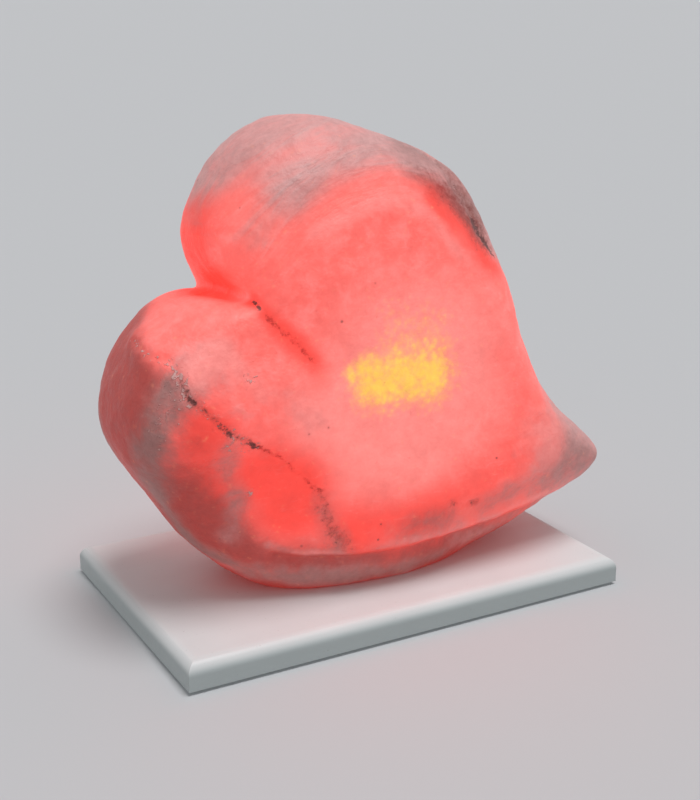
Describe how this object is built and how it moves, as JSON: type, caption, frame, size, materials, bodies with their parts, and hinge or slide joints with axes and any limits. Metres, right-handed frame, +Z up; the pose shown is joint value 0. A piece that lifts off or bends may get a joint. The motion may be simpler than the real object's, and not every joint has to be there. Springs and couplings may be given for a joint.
{
  "type": "salt crystal lamp",
  "caption": "Heart-shaped rock salt crystal on a painted rectangular board, lit from inside by a small screw-in bulb in a clip-in lampholder.",
  "frame": {"origin": "on the standing surface, under the middle of the whole lamp", "axes": "+Z up, +X to the right along the board's long side and towards the heart's tip, -Y towards the viewer of the heart's front face"},
  "size_m": [0.2413, 0.138, 0.2215],
  "materials": {
    "rock_salt": "ground and polished translucent rock salt with cloudy and grey veins, lit from inside",
    "white_paint": "satin white paint over wood",
    "foot_rubber": "matt grey rubber",
    "plug_plastic": "moulded grey nylon",
    "zinc_steel": "bright zinc plate",
    "spring_steel": "blued spring steel",
    "rivet_aluminium": "plain",
    "grommet_rubber": "matt white rubber",
    "holder_plastic": "white moulded thermoset",
    "insert_ceramic": "unglazed steatite",
    "contact_brass": "plain pressed brass",
    "bulb_glass": "clear blown glass",
    "bulb_cap_metal": "rolled thread, plain metal",
    "black_glass": "black vitrite",
    "solder": "tinned, slightly dull",
    "wire_nickel": "drawn nickel wire",
    "filament_tungsten": "glowing coiled wire"
  },
  "bodies": {
    "stand": {"salt_crystal": "rock_salt", "base_board": "white_paint", "board_feet": "foot_rubber", "wall_plugs": "plug_plastic", "fixing_washers": "zinc_steel", "fixing_screws": "zinc_steel", "cord_grommet": "grommet_rubber"},
    "lampholder": {"holder_cap": "holder_plastic", "cap_screws": "zinc_steel", "clip_plate": "zinc_steel", "spring_clips": "spring_steel", "clip_rivets": "rivet_aluminium", "holder_body": "holder_plastic", "contact_insert": "insert_ceramic", "threaded_sleeve": "contact_brass", "centre_contact": "contact_brass", "terminal_plates": "contact_brass", "terminal_screws": "contact_brass"},
    "bulb": {"bulb_glass": "bulb_glass", "bulb_cap_shell": "bulb_cap_metal", "bulb_insulator": "black_glass", "bulb_contact": "solder", "bulb_stem": "bulb_glass", "lead_wires": "wire_nickel", "support_wires": "wire_nickel", "filament": "filament_tungsten"}
  },
  "joints": [
    {"name": "holder_slide", "type": "slide", "parent": "stand", "child": "lampholder", "axis": [0, 0, -1], "range_m": [0, 0.13]},
    {"name": "bulb_turn", "type": "hinge", "parent": "lampholder", "child": "bulb", "pos_m": [0.004, 0, 0.05], "axis": [0, 0, 1], "range_deg": [0, 1260]}
  ]
}
